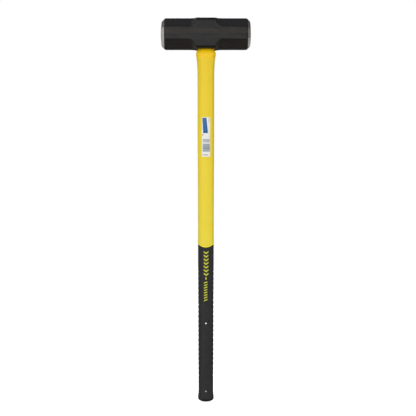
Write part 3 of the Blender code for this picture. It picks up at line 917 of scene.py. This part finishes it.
def yellow_material():
    """Moulded yellow plastic, deeper towards the head and, by painted light, brighter and more orange
    at the shoulder, with a painted highlight on the lip, painted shade in the hollow above it, a
    pebbled skin and a few rubbed marks.
    """
    mat, tree, shader = principled("moulded_yellow", specular=0.30)
    shader.inputs["Subsurface Weight"].default_value = 0.30
    shader.inputs["Subsurface Radius"].default_value = (1.0, 0.62, 0.06)
    shader.inputs["Subsurface Scale"].default_value = 4 * MM
    x, _, z = axes(tree)
    upper = spread(tree, z, GRIP_HIGH.z, HEAD_LOW.z)
    # painted light: towards the head the yellow is made brighter and more orange, offsetting the shade
    # under the head
    shoulder = spread(tree, z, SHOULDER_Z - 22 * MM, SHOULDER_Z + 4 * MM, smooth=True)
    cloud = grain(tree, 26, 3, stretch=(1, 1, 0.25))
    fine = grain(tree, 900, 3)
    colour = blend(tree, upper, (0.82, 0.690, 0.0440), (0.815, 0.580, 0.0065))
    # painted light: the brighter, more orange yellow under the head
    colour = blend(tree, shoulder, colour, (0.97, 0.620, 0.0015))
    deep = blend(tree, shoulder, (0.80, 0.610, 0.0110), (0.95, 0.590, 0.0010))
    colour = blend(tree, spread(tree, cloud, 0.3, 0.7, 0.6, 0.0), colour, deep)
    colour = blend(tree, spread(tree, fine, 0.35, 0.75, 0.0, 0.12), colour, (0.70, 0.46, 0.004))
    rub = spread(tree, grain(tree, 60, 5, stretch=(1, 1, 0.35), roughness=0.7), 0.60, 0.72)
    colour = blend(tree, maths(tree, "MULTIPLY", rub, 0.10), colour, (0.62, 0.45, 0.06))
    height = above_grip_edge(tree, x, z)
    # painted highlight: the raised lip along the grip's edge is coloured lighter
    lip = spread(tree, height, LIP_WIDTH - 0.4 * MM, LIP_WIDTH, 1.0, 0.0)
    colour = blend(tree, lip, colour, (0.97, 0.80, 0.020))
    # painted shade: the shallow hollow just above the lip is coloured darker
    hollow = maths(tree, "MULTIPLY", spread(tree, height, LIP_WIDTH, LIP_WIDTH + 0.4 * MM),
                   spread(tree, height, LIP_WIDTH + 0.8 * MM, LIP_WIDTH + 2 * HOLLOW_HALF, 0.6, 0.0))
    colour = blend(tree, hollow, colour, (0.70, 0.47, 0.010))
    dull = spread(tree, grain(tree, 240, 4), 0.3, 0.7, 0.40, 0.48)
    dress(tree, shader, colour, maths(tree, "ADD", dull, maths(tree, "MULTIPLY", rub, 0.08)))
    bump(tree, shader, grain(tree, 1300, 2), 0.025 * MM)
    bump(tree, shader, grain(tree, 130, 2, stretch=(1, 1, 0.4)), 0.06 * MM)
    return mat


def rubber_material():
    """Black rubber with a fine spark-eroded grain and a little dust."""
    mat, tree, shader = principled("black_rubber", specular=0.22)
    dust = spread(tree, grain(tree, 70, 5, roughness=0.65), 0.42, 0.75)
    colour = blend(tree, dust, (0.0125, 0.0125, 0.0130), (0.0240, 0.0235, 0.0230))
    dress(tree, shader, colour, spread(tree, dust, 0, 1, 0.50, 0.66))
    bump(tree, shader, grain(tree, 2400, 2), 0.05 * MM)
    bump(tree, shader, grain(tree, 300, 3), 0.05 * MM)
    return mat


def fibreglass_material():
    """Pultruded rod: resin with lengthwise glass rovings, cut ends speckled with fibre tips."""
    mat, tree, shader = principled("pultruded_fibreglass")
    fibres = grain(tree, 2600, 3, stretch=(1, 1, 0.01))
    bundles = grain(tree, 420, 3, stretch=(1, 1, 0.02))
    colour = blend(tree, spread(tree, fibres, 0.35, 0.65), (0.42, 0.37, 0.20), (0.74, 0.70, 0.50))
    colour = blend(tree, spread(tree, bundles, 0.4, 0.7), colour, (0.60, 0.58, 0.44))
    dress(tree, shader, colour, spread(tree, fibres, 0.3, 0.7, 0.55, 0.35))
    bump(tree, shader, fibres, 0.04 * MM)
    return mat


def epoxy_material():
    """Cloudy amber epoxy with small bubbles, darkened in their pits by painted shade."""
    mat, tree, shader = principled("potting_epoxy")
    cloud = grain(tree, 140, 4)
    colour = blend(tree, spread(tree, cloud, 0.3, 0.7), (0.22, 0.115, 0.028), (0.36, 0.205, 0.060))
    cells = add(tree, "ShaderNodeTexVoronoi", Vector=place(tree), Scale=700.0)
    bubble = spread(tree, cells.outputs["Distance"], 0.16, 0.24, 1.0, 0.0)
    # painted shade: the colour is darkened in the bubble pits
    colour = blend(tree, bubble, colour, (0.10, 0.05, 0.014))
    dress(tree, shader, colour, spread(tree, cloud, 0.3, 0.7, 0.18, 0.34))
    bump(tree, shader, bubble, -0.12 * MM)
    bump(tree, shader, cloud, 0.20 * MM)
    return mat


def seal_material():
    """Grey rubber sealing ring."""
    mat, tree, shader = principled("seal_rubber", specular=0.3)
    fine = grain(tree, 1500, 3)
    colour = blend(tree, fine, (0.020, 0.020, 0.021), (0.045, 0.045, 0.046))
    dress(tree, shader, colour, spread(tree, fine, 0.3, 0.7, 0.55, 0.75))
    bump(tree, shader, fine, 0.05 * MM)
    return mat


def label_panel(tree, x, z, area):
    """1 inside an area of the label given in mm, 0 outside."""
    left, right, upper, lower = (value * MM for value in area)
    inside = 1.0
    for value, low, high in ((x, left, right), (z, LABEL_HIGH.z - lower, LABEL_HIGH.z - upper)):
        past_low = spread(tree, value, low - INK_EDGE, low + INK_EDGE)
        short_of_high = spread(tree, value, high - INK_EDGE, high + INK_EDGE, 1.0, 0.0)
        inside = maths(tree, "MULTIPLY", inside, maths(tree, "MULTIPLY", past_low, short_of_high))
    return inside


def faint(tree, mask, share, low, high):
    """Colour high laid over low where the mask is 1, with only a share of its strength."""
    return blend(tree, maths(tree, "MULTIPLY", mask, share), low, high)


def with_picture(tree, x, z, paper):
    """The paper's colour with a plain blue shape between two slanted sides."""
    fallen = maths(tree, "SUBTRACT", LABEL_HIGH.z, z)
    from_left = maths(tree, "SUBTRACT", x, maths(tree, "MULTIPLY", fallen, LEFT_SLANT))
    from_right = maths(tree, "SUBTRACT", x, maths(tree, "MULTIPLY", fallen, RIGHT_SLANT))
    wave = maths(tree, "ADD", maths(tree, "MULTIPLY", from_right, 4.5), fallen)
    depth = spread(tree, wave, -22 * MM, 36 * MM)
    picture = blend(tree, depth, (0.050, 0.160, 0.370), (0.001, 0.075, 0.235))
    crest = maths(tree, "MULTIPLY", spread(tree, depth, 0.50, 0.58),
                  spread(tree, depth, 0.60, 0.68, 1, 0))
    picture = faint(tree, crest, 0.12, picture, (0.36, 0.55, 0.72))
    shade = label_panel(tree, x, z, PICTURE_SHADE)
    picture = faint(tree, shade, 0.8, picture, (0.001, 0.018, 0.070))
    inside = maths(tree, "MULTIPLY", spread(tree, from_left, -8.9 * MM, -8.4 * MM),
                   spread(tree, from_right, 1.0 * MM, 1.7 * MM, 1, 0))
    inside = maths(tree, "MULTIPLY", inside, label_panel(tree, x, z, PICTURE_AREA))
    return blend(tree, inside, paper, picture)


def label_material():
    """White film with a plain blue shape, grey strips, line patterns and made-up stripes."""
    mat, tree, shader = principled("printed_film", specular=0.12)
    x, _, z = axes(tree)
    paper = blend(tree, grain(tree, 900, 3), (0.74, 0.74, 0.70), (0.82, 0.82, 0.78))
    colour = with_picture(tree, x, z, paper)
    for area, share, ink in PLAIN_AREAS:
        colour = faint(tree, label_panel(tree, x, z, area), share, colour, ink)
    lines = add(tree, "ShaderNodeTexNoise", Vector=place(tree, (1, 0, 0.8)), Scale=1900.0,
                Detail=1.0).outputs["Fac"]
    lines = maths(tree, "MULTIPLY", spread(tree, lines, 0.40, 0.46),
                  label_panel(tree, x, z, LINES_AREA))
    colour = faint(tree, lines, 0.75, colour, (0.16, 0.18, 0.27))
    stripes = add(tree, "ShaderNodeTexNoise", {"noise_dimensions": "1D"}, W=z, Scale=1900.0,
                  Detail=1.0).outputs["Fac"]
    stripes = maths(tree, "MULTIPLY", spread(tree, stripes, 0.42, 0.46),
                    label_panel(tree, x, z, STRIPES_AREA))
    colour = faint(tree, stripes, 0.94, colour, (0.10, 0.17, 0.25))
    dress(tree, shader, colour, spread(tree, grain(tree, 200, 3), 0.3, 0.7, 0.32, 0.42))
    bump(tree, shader, grain(tree, 160, 2), 0.03 * MM)
    return mat


def print_material():
    """Olive-yellow ink, thin enough to show the rubber's grain."""
    mat, tree, shader = principled("olive_print", specular=0.4)
    fine = grain(tree, 1500, 3)
    colour = blend(tree, spread(tree, fine, 0.3, 0.7), (0.42, 0.43, 0.014), (0.60, 0.61, 0.030))
    dress(tree, shader, colour, spread(tree, fine, 0.3, 0.7, 0.42, 0.58))
    bump(tree, shader, grain(tree, 2400, 2), 0.04 * MM)
    return mat


make_head(forged_material())
make_core(fibreglass_material())
make_jacket(yellow_material())
make_grip(rubber_material())
make_label(label_material())
make_print(print_material())
make_filling("seal_ring", "eye_seal_ring", SEAL_LOW.z, SEAL_HIGH.z, 0.3 * MM, 0.0,
             seal_material())
make_filling("potting", "eye_epoxy", EPOXY_LOW.z, EPOXY_HIGH.z, 0.7 * MM, 0.25 * MM,
             epoxy_material())


# ------------ studio

def make_camera():
    """Level, straight in front of the labelled side."""
    data = bpy.data.cameras.new("camera")
    data.sensor_width = SENSOR
    data.lens = SENSOR * PHOTO_DISTANCE / FRAME_WIDTH
    camera = bpy.data.objects.new("camera", data)
    camera.location = (CAMERA_X, -PHOTO_DISTANCE, CAMERA_Z)
    camera.rotation_euler = (math.pi / 2, 0, 0)
    bpy.context.scene.collection.objects.link(camera)
    bpy.context.scene.camera = camera


def make_world():
    """Plain white to the camera; as a light, dim, with a brighter front and a table low behind."""
    world = bpy.data.worlds.new("studio")
    bpy.context.scene.world = world
    world.use_nodes = True
    tree = world.node_tree
    back = next(n for n in tree.nodes if n.type == "BACKGROUND")
    direction = add(tree, "ShaderNodeTexCoord").outputs["Generated"]

    def towards(axis, low, high, radiance):
        new = tree.nodes.new("ShaderNodeVectorMath")
        new.operation = "DOT_PRODUCT"
        feed(tree, new.inputs[0], direction)
        new.inputs[1].default_value = Vector(axis).normalized()
        return spread(tree, new.outputs["Value"], low, high, 0.0, radiance, smooth=True)

    ambient = AMBIENT
    for glow in GLOWS:
        ambient = maths(tree, "ADD", towards(*glow), ambient)
    seen = add(tree, "ShaderNodeLightPath").outputs["Is Camera Ray"]
    strength = maths(tree, "ADD", seen, maths(tree, "MULTIPLY", ambient,
                                              maths(tree, "SUBTRACT", 1.0, seen)))
    feed(tree, back.inputs["Color"], (1, 1, 1))
    feed(tree, back.inputs["Strength"], strength)


def softbox(name, location, size, radiance):
    """A rectangular light of even radiance, turned to the middle of the shaft."""
    data = bpy.data.lights.new(name, "AREA")
    data.shape = "RECTANGLE"
    data.size, data.size_y = size
    data.energy = radiance * math.pi * size[0] * size[1]
    light = bpy.data.objects.new(name, data)
    light.location = location
    light.rotation_euler = (LIGHT_AIM - Vector(location)).to_track_quat("-Z", "Y").to_euler()
    bpy.context.scene.collection.objects.link(light)


def make_floor():
    """A pale floor that glows a little and lights nothing."""
    mesh = bpy.data.meshes.new("floor")
    corners = [(x * FLOOR_HALF, y * FLOOR_HALF, 0) for x, y in ((-1, -1), (1, -1), (1, 1), (-1, 1))]
    mesh.from_pydata(corners, [], [(0, 1, 2, 3)])
    mat, _, shader = principled("pale_floor")
    shader.inputs["Roughness"].default_value = 0.8
    shader.inputs["Base Color"].default_value = (0.9, 0.9, 0.9, 1)
    shader.inputs["Emission Color"].default_value = (1, 1, 1, 1)
    shader.inputs["Emission Strength"].default_value = 0.8
    mesh.materials.append(mat)
    floor = bpy.data.objects.new("floor", mesh)
    bpy.context.scene.collection.objects.link(floor)
    floor.visible_diffuse = False
    floor.visible_glossy = False


make_camera()
make_world()
make_floor()
for light in SOFTBOXES:
    softbox(*light)
bpy.context.scene.view_settings.view_transform = "Standard"
